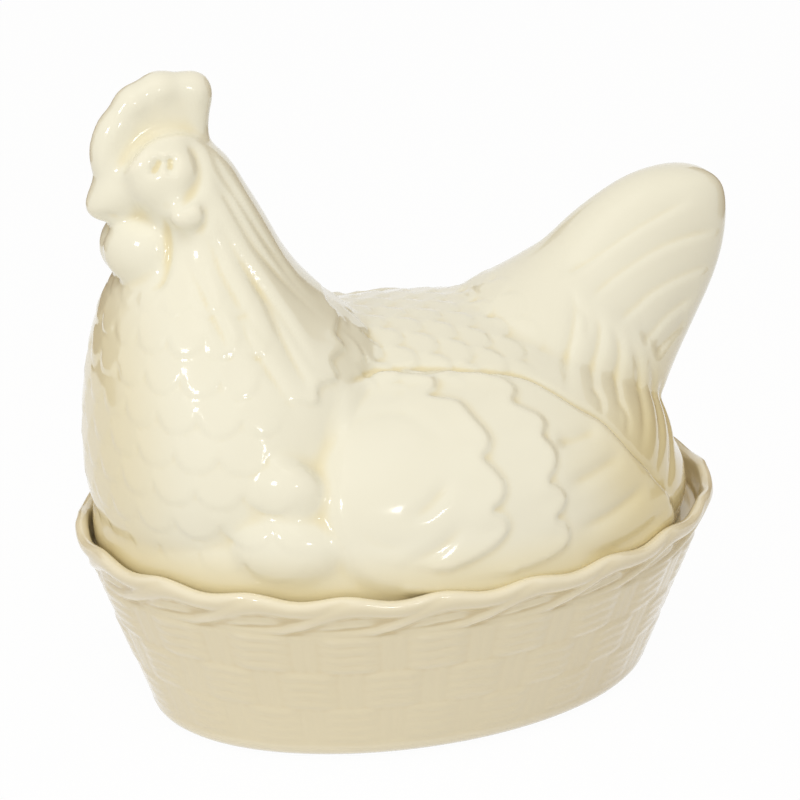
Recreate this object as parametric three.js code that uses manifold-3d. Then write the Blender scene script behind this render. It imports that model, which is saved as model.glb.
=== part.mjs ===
// A hen-on-nest dish in glazed earthenware, in two loose pieces: an oval basket-weave dish and the hollow hen that
// covers it. Millimetres, +Z up, the origin under the middle of the dish on the surface it stands on. The hen
// faces -X.
import * as THREE from "three";
import { mergeVertices } from "three/addons/utils/BufferGeometryUtils.js";
import Module from "manifold-3d";

const wasm = await Module();
wasm.setup();

// Dish
const dishLength = 254; // over the rim, along X
const dishWidth = 190; // over the rim, along Y
const dishHeight = 81; // to the crests of the rim
const endTaper = 24.5; // how far the wall draws in from rim to foot at the dish's ends
const sideTaper = 29;
const footLength = dishLength - 2 * endTaper; // where the wall starts, along X
const footWidth = dishWidth - 2 * sideTaper;
const footRoundLength = 10.5; // the rounded corner under the wall: how far it runs in at the ends
const footRoundWidth = 12;
const footHeight = 9; // and how high it reaches
const footTurns = [0.35, 0.7]; // where its rows lie, as shares of a quarter turn
const standLength = footLength - 2 * footRoundLength; // the flat that the dish stands on
const standWidth = footWidth - 2 * footRoundWidth;
const rimWall = 5.5; // at the top of the rim
const ledgeHeight = 69; // the hen rests at this height
const rimLean = 4; // how much the rim's inner face leans in, down to the ledge
const ledgeWidth = 7;
const floorHeight = 7;
const floorInsetLength = 10.5; // how much further in than the foot the flat floor ends
const floorInsetWidth = 8;
const floorLength = footLength - 2 * floorInsetLength;
const floorWidth = footWidth - 2 * floorInsetWidth;
// the bowl's rows between the ledge and the floor: how far in, then how far down
const bowlShares = [[0.05, 0.12], [0.4, 0.6], [0.72, 0.9], [1, 1]];

// Rope border and weave on the dish's wall
const ropeHeight = 15;
const ropeRelief = 2;
const rimDip = 3; // how far the rim dips between two crests
const weaveRelief = 1.5;
const weaveSoftness = 0.5; // share of the weave's relief that is left in the lowest row
const weaveMean = 0.45; // share of the relief that a course stands out by on average
const weaveSwing = 0.55; // and how much it swings by, from one upright to the next
const ropeRowShares = [0, 0.3, 0.6, 0.85]; // heights of the rope's rows, as shares of its own height
const ropeLean = 0.3; // how much of a lobe the rope leans over its height
const ropeRootShare = 0.06; // the rope stands this far out already at its foot
const ropeSpan = 0.52; // half turns that the rope's roundness covers
const ropeTopShare = 0.92; // the rope's rows end this far up
const rimCrownShare = 0.3; // share of the rim's dip by which the wall may rise over its top
// the rim's rounding: how far in from each face, and how far down, as shares of the rim's wall
const crownOutShare = 0.35;
const crownMiddleShare = 0.7;
const crownDropShare = 0.3;

// Hen
const henHeight = 183; // from where it rests to the top of the comb
const hollowWall = 5;
const skirtClearance = 2; // all round, between the hen's skirt and the rim
const seatGap = 0.3; // between the skirt and the ledge
const hollowRound = 5; // how much lower than the wall's thickness the roof of the hollow stays
const neckHollowRings = 14; // rings of the neck, from below, that are hollow
const tailHollowRings = 7;

// Wings and the two eggs in front of each
const wingRelief = 2.2; // long feathers
const secondRelief = 3.3; // the row over them
const covertRelief = 4.4; // the shoulder
const upperEggWidth = 26;
const upperEggHeight = 24.5;
const upperEggDepth = 14;
const lowerEggWidth = 33;
const lowerEggHeight = 28.5;
const lowerEggDepth = 15;
const eggForward = 0.47; // the eggs look this much forwards
const eggOutward = 0.88; // and this much to the side
const wingInnerShare = 0.25; // the wings are cut between these shares of the skirt's half-width
const wingOuterShare = 1.5;

// Head
const combThickness = 12;
const combEdge = 3.5; // rounding of the comb's edge
const beakBaseWidth = 22;
const beakBaseHeight = 22;
const beakRowShares = [0, 0.4, 0.7, 0.9, 1]; // where the beak's rings lie, from its root to its tip
const beakBluntShare = 0.98; // 1 would end in a point
const wattleWidth = 20;
const wattleHeight = 24;
const wattleThickness = 12;
const earWidth = 10;
const earHeight = 13;
const earThickness = 7;
const eyeWidth = 9;
const eyeThickness = 6;
const faceForward = 0.2; // eyes, ears and wattles look this much forwards

// How finely the round bodies are divided
const dishSides = 120;
const weaveRows = 3;
const ropeTurns = 20;
const bodySides = 44;
const neckSides = 36;
const tailSides = 26;
const hollowSides = 22;
const upperEggSides = 18;
const lowerEggSides = 20;
const beakSides = 16;
const wattleSides = 16;
const faceSides = 12; // ears and eyes
const combPoints = 44;
const combBevelRows = 2;
const evenSteps = 20; // steps for each side when a rim is divided evenly

// How full the ovals are: 2 is an ellipse, more is squarer.
const ellipse = 2;
const leaningFullness = 2.1;
const bodyFullnessStep = 0.05; // the body grows fuller by this from ring to ring
const bodyFullnessMost = 2.15;

const tau = Math.PI * 2;
const rowsPerWeave = 3;
const seatHeight = ledgeHeight + seatGap;
const reach = dishLength / 2 - rimWall - rimLean - skirtClearance; // half the skirt's length
const spread = dishWidth / 2 - rimWall - rimLean - skirtClearance; // half the skirt's width

// The hen's body: a stack of flat ovals. Height as a share of henHeight over the seat, then half-length and
// half-width as shares of the skirt's.
const bodyShares = [
  [0.000, 0.991, 1.000],
  [0.048, 0.974, 1.002],
  [0.091, 0.974, 1.012],
  [0.146, 0.978, 1.030],
  [0.195, 0.957, 1.024],
  [0.244, 0.905, 0.986],
  [0.288, 0.844, 0.922],
  [0.332, 0.775, 0.830],
  [0.370, 0.701, 0.725],
  [0.403, 0.623, 0.593],
  [0.427, 0.502, 0.449],
  [0.445, 0.372, 0.299],
  [0.455, 0.216, 0.156],
];

// Breast, neck and head, and then the tail: stacks of leaning ovals, each from a place on the front line to one on
// the back line. Front X, front height, back X, back height, half-width, in the same shares.
const neckShares = [
  [-0.97, 0.037, -0.173, 0.037, 0.623],
  [-1.009, 0.091, -0.139, 0.091, 0.683],
  [-1.033, 0.151, -0.104, 0.151, 0.754],
  [-1.039, 0.222, -0.078, 0.222, 0.796],
  [-1.035, 0.288, -0.069, 0.283, 0.784],
  [-1.027, 0.354, -0.069, 0.343, 0.749],
  [-1.013, 0.419, -0.078, 0.403, 0.695],
  [-0.992, 0.479, -0.121, 0.452, 0.623],
  [-0.966, 0.534, -0.208, 0.501, 0.557],
  [-0.944, 0.583, -0.294, 0.556, 0.491],
  [-0.931, 0.627, -0.359, 0.605, 0.437],
  [-0.916, 0.668, -0.41, 0.654, 0.389],
  [-0.905, 0.706, -0.45, 0.703, 0.347],
  [-0.905, 0.742, -0.489, 0.747, 0.311],
  [-0.918, 0.78, -0.522, 0.783, 0.275],
  [-0.922, 0.818, -0.557, 0.821, 0.246],
  [-0.892, 0.854, -0.606, 0.854, 0.216],
  [-0.84, 0.878, -0.658, 0.878, 0.162],
  [-0.788, 0.895, -0.71, 0.895, 0.078],
];
const tailShares = [
  [0.104, 0.397, 0.848, 0.157, 0.551],
  [0.208, 0.446, 0.892, 0.211, 0.509],
  [0.312, 0.485, 0.935, 0.266, 0.449],
  [0.416, 0.519, 0.983, 0.326, 0.371],
  [0.519, 0.558, 1.037, 0.386, 0.299],
  [0.615, 0.61, 1.104, 0.457, 0.246],
  [0.714, 0.656, 1.15, 0.523, 0.204],
  [0.816, 0.688, 1.169, 0.583, 0.174],
  [0.918, 0.705, 1.167, 0.635, 0.144],
  [1.017, 0.708, 1.156, 0.668, 0.108],
  [1.082, 0.7, 1.13, 0.687, 0.06],
];

// Outlines seen from the side: X, then height, in the same shares.
const combShares = [
  [-0.619, 0.873],
  [-0.62, 0.917],
  [-0.613, 0.952],
  [-0.629, 0.984],
  [-0.667, 0.998],
  [-0.701, 0.995],
  [-0.746, 1],
  [-0.792, 0.996],
  [-0.835, 0.975],
  [-0.885, 0.955],
  [-0.913, 0.926],
  [-0.958, 0.895],
  [-0.973, 0.858],
  [-0.956, 0.823],
  [-0.883, 0.802],
  [-0.736, 0.84],
];
const wingShares = [
  [-0.327, 0.41],
  [-0.274, 0.412],
  [-0.209, 0.414],
  [-0.132, 0.416],
  [-0.009, 0.411],
  [0.083, 0.406],
  [0.156, 0.399],
  [0.25, 0.387],
  [0.315, 0.365],
  [0.397, 0.332],
  [0.46, 0.311],
  [0.512, 0.273],
  [0.55, 0.242],
  [0.594, 0.213],
  [0.643, 0.174],
  [0.719, 0.114],
  [0.711, 0.081],
  [0.677, 0.068],
  [0.603, 0.068],
  [0.536, 0.068],
  [0.39, 0.068],
  [0.202, 0.068],
  [-0.037, 0.073],
  [-0.197, 0.083],
  [-0.349, 0.098],
  [-0.438, 0.138],
  [-0.462, 0.216],
  [-0.445, 0.282],
  [-0.403, 0.354],
  [-0.37, 0.392],
];
const secondShares = [
  [-0.314, 0.407],
  [-0.143, 0.411],
  [0.01, 0.405],
  [0.134, 0.397],
  [0.173, 0.39],
  [0.197, 0.387],
  [0.209, 0.382],
  [0.223, 0.375],
  [0.223, 0.366],
  [0.22, 0.355],
  [0.211, 0.348],
  [0.237, 0.343],
  [0.247, 0.336],
  [0.259, 0.326],
  [0.25, 0.317],
  [0.237, 0.308],
  [0.22, 0.303],
  [0.242, 0.295],
  [0.249, 0.287],
  [0.258, 0.275],
  [0.248, 0.265],
  [0.232, 0.256],
  [0.214, 0.25],
  [0.242, 0.24],
  [0.253, 0.23],
  [0.266, 0.216],
  [0.258, 0.204],
  [0.245, 0.192],
  [0.229, 0.186],
  [0.264, 0.168],
  [0.274, 0.152],
  [0.288, 0.132],
  [0.274, 0.116],
  [0.248, 0.104],
  [0.222, 0.1],
  [0.056, 0.095],
  [-0.171, 0.111],
  [-0.34, 0.134],
  [-0.423, 0.172],
  [-0.436, 0.236],
  [-0.415, 0.299],
  [-0.371, 0.369],
];
const covertShares = [
  [-0.304, 0.402],
  [-0.154, 0.406],
  [-0.069, 0.404],
  [-0.039, 0.395],
  [-0.009, 0.393],
  [0.006, 0.388],
  [0.025, 0.381],
  [0.023, 0.372],
  [0.017, 0.361],
  [0.005, 0.353],
  [0.032, 0.344],
  [0.042, 0.333],
  [0.056, 0.318],
  [0.05, 0.304],
  [0.038, 0.291],
  [0.023, 0.283],
  [0.056, 0.274],
  [0.067, 0.263],
  [0.079, 0.25],
  [0.067, 0.234],
  [0.048, 0.219],
  [0.026, 0.209],
  [0.057, 0.199],
  [0.064, 0.187],
  [0.073, 0.172],
  [0.052, 0.158],
  [0.023, 0.145],
  [-0.005, 0.137],
  [-0.099, 0.135],
  [-0.209, 0.143],
  [-0.313, 0.161],
  [-0.395, 0.203],
  [-0.405, 0.262],
  [-0.381, 0.322],
  [-0.348, 0.371],
];

// Single places, as X, Y and height in the same shares.
const upperEggShare = [-0.558, 0.784, 0.280];
const lowerEggShare = [-0.576, 0.850, 0.160];
const eyeShare = [-0.801, 0.189, 0.848];
const earShare = [-0.710, 0.281, 0.758];
const wattleShare = [-0.874, 0.126, 0.668];
const beakRootShare = [-0.857, 0.000, 0.774];
const beakTipShare = [-1.010, 0.000, 0.749];

// A solid for cutting and joining, out of a closed mesh's points and faces.
function solidOf(geometry) {
  const bare = new THREE.BufferGeometry();
  bare.setAttribute("position", geometry.getAttribute("position"));
  if (geometry.index) bare.setIndex(geometry.index);
  const merged = mergeVertices(bare, 1e-4);
  const vertProperties = new Float32Array(merged.getAttribute("position").array);
  const triVerts = new Uint32Array(merged.index.array);
  return new wasm.Manifold(new wasm.Mesh({ numProp: 3, vertProperties, triVerts }));
}

function geometryOf(solid) {
  const mesh = solid.getMesh();
  const geometry = new THREE.BufferGeometry();
  const position = new Float32Array(mesh.numVert * 3);
  for (let vertex = 0; vertex < mesh.numVert; vertex += 1) {
    for (let axis = 0; axis < 3; axis += 1) {
      position[vertex * 3 + axis] = mesh.vertProperties[vertex * mesh.numProp + axis];
    }
  }
  geometry.setAttribute("position", new THREE.BufferAttribute(position, 3));
  geometry.setIndex(new THREE.BufferAttribute(new Uint32Array(mesh.triVerts), 1));
  geometry.computeVertexNormals();
  return geometry;
}

// A closed skin over a stack of rings, with a fan at each end. Every ring runs the same way round and has the same
// number of points.
function skinOf(rings) {
  const count = rings[0].length;
  const position = [];
  const index = [];
  for (const ring of rings) {
    for (const point of ring) position.push(...point);
  }
  const addHub = (ring) => {
    const hub = [0, 0, 0];
    for (const point of ring) {
      for (let axis = 0; axis < 3; axis += 1) hub[axis] += point[axis] / count;
    }
    position.push(...hub);
    return position.length / 3 - 1;
  };
  for (let row = 0; row + 1 < rings.length; row += 1) {
    for (let side = 0; side < count; side += 1) {
      const next = (side + 1) % count;
      const low = row * count;
      const high = low + count;
      index.push(low + side, low + next, high + next, low + side, high + next, high + side);
    }
  }
  const first = addHub(rings[0]);
  const last = addHub(rings[rings.length - 1]);
  const top = (rings.length - 1) * count;
  for (let side = 0; side < count; side += 1) {
    const next = (side + 1) % count;
    index.push(first, next, side);
    index.push(last, top + side, top + next);
  }
  const geometry = new THREE.BufferGeometry();
  geometry.setAttribute("position", new THREE.BufferAttribute(new Float32Array(position), 3));
  geometry.setIndex(index);
  return geometry;
}

// One turn of an oval that is a little fuller than an ellipse.
function ovalTurn(sides, fullness) {
  const turn = [];
  for (let side = 0; side < sides; side += 1) {
    const angle = (tau * side) / sides;
    const along = Math.cos(angle);
    const across = Math.sin(angle);
    turn.push([
      Math.sign(along) * Math.abs(along) ** (2 / fullness),
      Math.sign(across) * Math.abs(across) ** (2 / fullness),
    ]);
  }
  return turn;
}

// The stack of flat ovals of the hen's body, grown all round by the given distance, or shrunk if it is negative.
function bodyRings(grow, sides) {
  return bodyShares.map(([heightShare, reachShare, spreadShare], row) => {
    const fullness = ellipse + bodyFullnessStep * Math.max(row - 1, 0);
    const turn = ovalTurn(sides, Math.min(fullness, bodyFullnessMost));
    const topShare = heightShare / bodyShares[bodyShares.length - 1][0];
    const height = seatHeight + heightShare * henHeight + grow * topShare * topShare;
    return turn.map(([along, across]) => [
      along * (reachShare * reach + grow),
      across * (spreadShare * spread + grow),
      height,
    ]);
  });
}

// A stack of leaning ovals, grown by the given distance in its own plane.
function leaningRings(rows, grow, sides) {
  const turn = ovalTurn(sides, leaningFullness);
  return rows.map(([frontX, frontHeight, backX, backHeight, widthShare]) => {
    const front = new THREE.Vector3(frontX * reach, 0, seatHeight + frontHeight * henHeight);
    const back = new THREE.Vector3(backX * reach, 0, seatHeight + backHeight * henHeight);
    const middle = front.clone().add(back).divideScalar(2);
    const axis = back.clone().sub(front);
    const half = axis.length() / 2 + grow;
    axis.normalize();
    return turn.map(([along, across]) => [
      middle.x + axis.x * along * half,
      across * (widthShare * spread + grow),
      middle.z + axis.z * along * half,
    ]);
  });
}

// Angles round an ellipse that divide its outline into equal lengths.
function evenAngles(count, halfLength, halfWidth) {
  const fine = count * evenSteps;
  const lengths = [0];
  for (let step = 0; step < fine; step += 1) {
    const angle = (tau * (step + 0.5)) / fine;
    const dx = halfLength * Math.sin(angle);
    const dy = halfWidth * Math.cos(angle);
    lengths.push(lengths[step] + (Math.hypot(dx, dy) * tau) / fine);
  }
  const angles = [];
  let step = 0;
  for (let side = 0; side < count; side += 1) {
    const wanted = (lengths[fine] * side) / count;
    while (lengths[step + 1] < wanted) step += 1;
    const part = (wanted - lengths[step]) / (lengths[step + 1] - lengths[step]);
    angles.push((tau * (step + part)) / fine);
  }
  return angles;
}

// The dish is one skin that runs from the middle of its base up the outside, over the rim, down the inside and
// across its floor.
function makeDish() {
  const wallTop = dishHeight - rimDip;
  const ropeBottom = dishHeight - ropeHeight;
  const rows = [];
  const addRow = (length, width, height, bulge, lift) => {
    rows.push({ length: length / 2, width: width / 2, height, bulge, lift });
  };
  const plain = () => 0;
  const crest = (share) => (-rimDip * (1 + Math.cos(tau * ropeTurns * share))) / 2;
  const outerRow = (height, bulge, lift) => {
    const share = (height - footHeight) / (wallTop - footHeight);
    const length = THREE.MathUtils.lerp(footLength, dishLength - 2 * ropeRelief, share);
    const width = THREE.MathUtils.lerp(footWidth, dishWidth - 2 * ropeRelief, share);
    addRow(length, width, height, bulge, lift);
  };
  addRow(standLength, standWidth, 0, plain, plain);
  for (const turn of footTurns) {
    const out = Math.sin((turn * tau) / 4);
    const up = 1 - Math.cos((turn * tau) / 4);
    addRow(
      THREE.MathUtils.lerp(standLength, footLength, out),
      THREE.MathUtils.lerp(standWidth, footWidth, out),
      footHeight * up,
      plain,
      plain,
    );
  }
  const weaveStep = (ropeBottom - footHeight) / (weaveRows * rowsPerWeave);
  for (let row = 0; row < weaveRows * rowsPerWeave; row += 1) {
    const course = Math.floor(row / rowsPerWeave);
    const within = (row % rowsPerWeave) / rowsPerWeave;
    const strength = THREE.MathUtils.lerp(weaveSoftness, 1, row / (weaveRows * rowsPerWeave));
    const bulge = (share) => {
      const phase = Math.cos(tau * ropeTurns * share + Math.PI * (course + weaveRows));
      return weaveRelief * strength * Math.sin(within * Math.PI) * (weaveMean - weaveSwing * phase);
    };
    outerRow(footHeight + row * weaveStep, bulge, plain);
  }
  // The rope's lobes lean, so their phase moves on with the height.
  const lastRopeShare = ropeRowShares[ropeRowShares.length - 1];
  const ropeTop = Math.min(wallTop + rimDip * rimCrownShare, dishHeight);
  for (const part of ropeRowShares) {
    const bulge = (share) => {
      const phase = Math.cos(tau * (ropeTurns * share + ropeLean * (part - lastRopeShare)));
      const roundness = Math.sin((part + ropeRootShare) * ropeSpan * Math.PI);
      return (ropeRelief * roundness * (1 - phase)) / 2;
    };
    const lift = (share) => part * crest(share);
    const height = THREE.MathUtils.lerp(ropeBottom, dishHeight, part * ropeTopShare);
    outerRow(Math.min(height, ropeTop), bulge, lift);
  }
  const innerLength = dishLength - 2 * rimWall;
  const innerWidth = dishWidth - 2 * rimWall;
  const ledgeLength = innerLength - 2 * rimLean;
  const ledgeSpan = innerWidth - 2 * rimLean;
  for (const crownShare of [crownOutShare, crownMiddleShare]) {
    const inset = 2 * crownShare * rimWall;
    addRow(dishLength - inset, dishWidth - inset, dishHeight, plain, crest);
  }
  addRow(innerLength, innerWidth, dishHeight - crownDropShare * rimWall, plain, crest);
  addRow(ledgeLength, ledgeSpan, ledgeHeight, plain, plain);
  addRow(ledgeLength - 2 * ledgeWidth, ledgeSpan - 2 * ledgeWidth, ledgeHeight, plain, plain);
  const innerTop = { length: ledgeLength - 2 * ledgeWidth, width: ledgeSpan - 2 * ledgeWidth };
  for (const [inShare, downShare] of bowlShares) {
    addRow(
      THREE.MathUtils.lerp(innerTop.length, floorLength, inShare),
      THREE.MathUtils.lerp(innerTop.width, floorWidth, inShare),
      THREE.MathUtils.lerp(ledgeHeight, floorHeight, downShare),
      plain,
      plain,
    );
  }
  const angles = evenAngles(dishSides, dishLength / 2, dishWidth / 2);
  const rings = rows.map((row) => angles.map((angle, side) => {
    const share = side / dishSides;
    const bulge = row.bulge(share);
    return [
      Math.cos(angle) * (row.length + bulge),
      Math.sin(angle) * (row.width + bulge),
      row.height + row.lift(share),
    ];
  }));
  return solidOf(skinOf(rings));
}

// A place given in shares, in millimetres; side is 1 or -1.
function placeOf([xShare, yShare, heightShare], side) {
  return new THREE.Vector3(xShare * reach, side * yShare * spread, seatHeight + heightShare * henHeight);
}

// A round lump, flattened along the direction that it looks in, which is level.
function lumpOf(place, looking, width, height, thickness, sides) {
  const ball = new THREE.SphereGeometry(0.5, sides, Math.round(sides / 2));
  ball.rotateX(Math.PI / 2);
  ball.scale(thickness, width, height);
  ball.rotateZ(Math.atan2(looking.y, looking.x));
  ball.translate(place.x, place.y, place.z);
  return solidOf(ball);
}

// A smooth closed outline through places seen from the side.
function sideOutline(shares, steps) {
  const corners = shares.map(([x, height]) => new THREE.Vector3(x * reach, seatHeight + height * henHeight, 0));
  const curve = new THREE.CatmullRomCurve3(corners, true, "centripetal");
  return curve.getPoints(steps).slice(0, -1).map((point) => new THREE.Vector2(point.x, point.y));
}

// A plate with a side outline, between two places on Y.
function plateOf(outline, fromY, toY, edge) {
  const depth = toY - fromY - 2 * edge;
  const plate = new THREE.ExtrudeGeometry(new THREE.Shape(outline), {
    depth,
    bevelEnabled: edge > 0,
    bevelThickness: edge,
    bevelSize: edge,
    bevelOffset: -edge,
    bevelSegments: combBevelRows,
    curveSegments: 1,
  });
  // The plate is drawn in X and Y and stands on Z, so it is turned up and its thickness then runs to -Y.
  plate.rotateX(Math.PI / 2);
  plate.translate(0, toY - edge, 0);
  return solidOf(plate);
}

// A wing's layer lies on the body at an even height, cut to its outline.
function wingLayer(shares, relief, side) {
  const outline = shares.map(([x, height]) => new THREE.Vector2(x * reach, seatHeight + height * henHeight));
  const grown = solidOf(skinOf(bodyRings(relief, bodySides)));
  const inner = spread * wingInnerShare;
  const outer = spread * wingOuterShare;
  const plate = side > 0 ? plateOf(outline, inner, outer, 0) : plateOf(outline, -outer, -inner, 0);
  return grown.intersect(plate);
}

function makeWing(side) {
  return wingLayer(wingShares, wingRelief, side)
    .add(wingLayer(secondShares, secondRelief, side))
    .add(wingLayer(covertShares, covertRelief, side));
}

function makeEggs(side) {
  const looking = new THREE.Vector2(-eggForward, eggOutward * side);
  const upperPlace = placeOf(upperEggShare, side);
  const upper = lumpOf(upperPlace, looking, upperEggWidth, upperEggHeight, upperEggDepth, upperEggSides);
  const lowerPlace = placeOf(lowerEggShare, side);
  const lower = lumpOf(lowerPlace, looking, lowerEggWidth, lowerEggHeight, lowerEggDepth, lowerEggSides);
  return upper.add(lower);
}

function makeBeak() {
  const root = placeOf(beakRootShare, 1);
  const tip = placeOf(beakTipShare, 1);
  const rings = [];
  for (const share of beakRowShares) {
    const size = Math.sqrt(1 - beakBluntShare * share * share);
    const middle = root.clone().lerp(tip, share);
    const ring = ovalTurn(beakSides, ellipse).map(([along, across]) => [
      middle.x,
      middle.y - (across * beakBaseWidth * size) / 2,
      middle.z + (along * beakBaseHeight * size) / 2,
    ]);
    rings.push(ring.reverse());
  }
  return solidOf(skinOf(rings));
}

function makeHead() {
  const half = combThickness / 2;
  const comb = plateOf(sideOutline(combShares, combPoints), -half, half, combEdge);
  let head = comb.add(makeBeak());
  for (const side of [1, -1]) {
    const out = new THREE.Vector2(-faceForward, side);
    const wattlePlace = placeOf(wattleShare, side);
    head = head.add(lumpOf(wattlePlace, out, wattleWidth, wattleHeight, wattleThickness, wattleSides));
    head = head.add(lumpOf(placeOf(earShare, side), out, earWidth, earHeight, earThickness, faceSides));
    head = head.add(lumpOf(placeOf(eyeShare, side), out, eyeWidth, eyeWidth, eyeThickness, faceSides));
  }
  return head;
}

// The hollow follows the body, the neck and the tail at the wall's thickness and is open below.
function makeHollow() {
  const body = bodyRings(-hollowWall, hollowSides);
  const below = body[0].map(([x, y]) => [x, y, seatHeight - hollowWall]);
  const roof = hollowWall + hollowRound;
  const topShare = bodyShares[bodyShares.length - 1][0];
  const kept = body.filter((ring) => ring[0][2] < seatHeight + topShare * henHeight - roof);
  const neck = leaningRings(neckShares.slice(0, neckHollowRings), -hollowWall, hollowSides);
  const tail = leaningRings(tailShares.slice(0, tailHollowRings), -hollowWall, hollowSides);
  return solidOf(skinOf([below, ...kept])).add(solidOf(skinOf(neck))).add(solidOf(skinOf(tail)));
}

function makeHen() {
  let hen = solidOf(skinOf(bodyRings(0, bodySides)));
  hen = hen.add(solidOf(skinOf(leaningRings(neckShares, 0, neckSides))));
  hen = hen.add(solidOf(skinOf(leaningRings(tailShares, 0, tailSides))));
  for (const side of [1, -1]) {
    hen = hen.add(makeWing(side));
    hen = hen.add(makeEggs(side));
  }
  hen = hen.add(makeHead());
  return hen.subtract(makeHollow());
}

function addPart(group, name, solid, colour, roughness) {
  const material = new THREE.MeshStandardMaterial({ color: colour, roughness, metalness: 0 });
  const mesh = new THREE.Mesh(geometryOf(solid), material);
  mesh.name = name;
  group.add(mesh);
}

const hensNest = new THREE.Group();
hensNest.name = "hen_on_nest_dish";
addPart(hensNest, "nest_dish", makeDish(), "#ece2c4", 0.22);
addPart(hensNest, "hen_lid", makeHen(), "#efe7cf", 0.2);

export default hensNest;
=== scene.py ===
import math

import bmesh
import bpy
import numpy as np
from mathutils import Matrix, Vector
from mathutils.bvhtree import BVHTree


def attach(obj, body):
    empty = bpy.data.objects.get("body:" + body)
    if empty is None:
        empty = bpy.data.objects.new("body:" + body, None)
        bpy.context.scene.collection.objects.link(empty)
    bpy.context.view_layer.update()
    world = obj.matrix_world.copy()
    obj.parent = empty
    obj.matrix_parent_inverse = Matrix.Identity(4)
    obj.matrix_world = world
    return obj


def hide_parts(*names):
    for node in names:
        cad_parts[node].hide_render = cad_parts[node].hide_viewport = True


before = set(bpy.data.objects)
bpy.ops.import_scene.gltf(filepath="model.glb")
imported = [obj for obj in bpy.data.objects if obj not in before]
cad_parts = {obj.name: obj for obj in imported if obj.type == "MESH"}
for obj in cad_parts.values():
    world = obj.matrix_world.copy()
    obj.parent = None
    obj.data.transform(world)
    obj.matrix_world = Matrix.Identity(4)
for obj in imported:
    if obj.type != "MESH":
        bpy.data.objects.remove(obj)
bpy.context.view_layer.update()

mm = 0.001
tau = 2 * math.pi
weld = 0.001  # points nearer to each other than this are one
fit = 0.9915  # the sizes below are taken down by this much, so that the relief ends inside the solid's box


def say(stage):
    print("hen on nest:", stage)


def addToScene(name, data):
    piece = bpy.data.objects.new(name, data)
    bpy.context.scene.collection.objects.link(piece)
    return piece


# a smooth curve through rows of numbers
def smoothRows(rows, steps, closed=False):
    points = np.array(rows, float)
    count = len(points)
    dense = []
    for i in range(count if closed else count - 1):
        if closed:
            a, b, c, d = points[i - 1], points[i], points[(i + 1) % count], points[(i + 2) % count]
        else:
            a, b, c, d = points[max(i - 1, 0)], points[i], points[i + 1], points[min(i + 2, count - 1)]
        for step in range(steps):
            t = step / steps
            bend = (2 * a - 5 * b + 4 * c - d) + t * (3 * (b - c) + d - a)
            dense.append(b + 0.5 * t * ((c - a) + t * bend))
    if not closed:
        dense.append(points[-1])
    return np.array(dense)


def smoothStep(low, high, value):
    t = np.clip((value - low) / (high - low), 0, 1)
    return t * t * (3 - 2 * t)


# rises from nothing at one end of a line and sinks to nothing at the other
def taperedEnds(part, taper):
    return smoothStep(-0.02, taper, part) * (1 - smoothStep(1 - taper, 1.02, part))


# one turn of an oval: a fullness of 2 is an ellipse, more is squarer
def ovalTurn(sides, fullness):
    angles = np.arange(sides) * tau / sides
    along, across = np.cos(angles), np.sin(angles)
    power = 2 / fullness
    return np.sign(along) * np.abs(along) ** power, np.sign(across) * np.abs(across) ** power


# how far each spot lies from a line, and how far along the line its nearest place is
def nearestOnLine(spots, line):
    best = np.full(len(spots), np.inf)
    part = np.zeros(len(spots))
    for i in range(len(line) - 1):
        start, span = line[i], line[i + 1] - line[i]
        t = np.clip((spots - start) @ span / max(span @ span, 1e-9), 0, 1)
        gap = ((spots - start - t[:, None] * span) ** 2).sum(1)
        closer = gap < best
        best = np.where(closer, gap, best)
        part = np.where(closer, (i + t) / (len(line) - 1), part)
    return np.sqrt(best), part


def withinOutline(spots, outline):
    inside = np.zeros(len(spots), bool)
    x, y = spots.T
    for (ax, ay), (bx, by) in zip(outline, np.roll(outline, -1, 0)):
        crosses = (ay > y) != (by > y)
        if ay != by:
            inside ^= crosses & (x < (bx - ax) * (y - ay) / (by - ay) + ax)
    return inside


def addCircle(bm, places):
    made = bmesh.ops.create_circle(bm, cap_ends=False, segments=len(places), radius=1)["verts"]
    for vert, place in zip(made, places):
        vert.co = place
    return list(dict.fromkeys(edge for vert in made for edge in vert.link_edges))


# a sheet of squares laid over a stack of closed rings, sewn up along its seam and closed at both ends
def addLoft(bm, rings):
    rings = np.array(rings)
    count, sides = rings.shape[:2]
    made = bmesh.ops.create_grid(bm, x_segments=sides, y_segments=count - 1, size=0.5)["verts"]
    seam = []
    for vert in made:
        side = round((vert.co.x + 0.5) * sides)
        row = round((vert.co.y + 0.5) * (count - 1))
        vert.co = rings[row, side % sides]
        if side % sides == 0:
            seam.append(vert)
    known = set(made)
    bmesh.ops.remove_doubles(bm, verts=seam, dist=weld)
    ends = [edge for edge in bm.edges if edge.is_boundary and edge.verts[0] in known]
    bmesh.ops.holes_fill(bm, edges=ends, sides=0)


# a flattened ball, turned about the upright axis; side -1 gives its mirror image
def addLump(bm, place, halfSizes, turn, side):
    matrix = (Matrix.Translation((place[0], place[1] * side, place[2]))
              @ Matrix.Rotation(math.radians(turn) * side, 4, "Z")
              @ Matrix.Diagonal((*halfSizes, 1)))
    bmesh.ops.create_uvsphere(bm, u_segments=40, v_segments=24, radius=1, matrix=matrix)


# what lies below a height is cut off, and the cut is left open
def cutBelow(bm, height):
    bmesh.ops.bisect_plane(bm, geom=bm.verts[:] + bm.edges[:] + bm.faces[:], plane_co=(0, 0, height),
                           plane_no=(0, 0, -1), clear_outer=True)


def meshOf(bm, name):
    mesh = bpy.data.meshes.new(name)
    bm.to_mesh(mesh)
    bm.free()
    return mesh


def triangles(bm):
    return sum(len(face.verts) - 2 for face in bm.faces)


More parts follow.
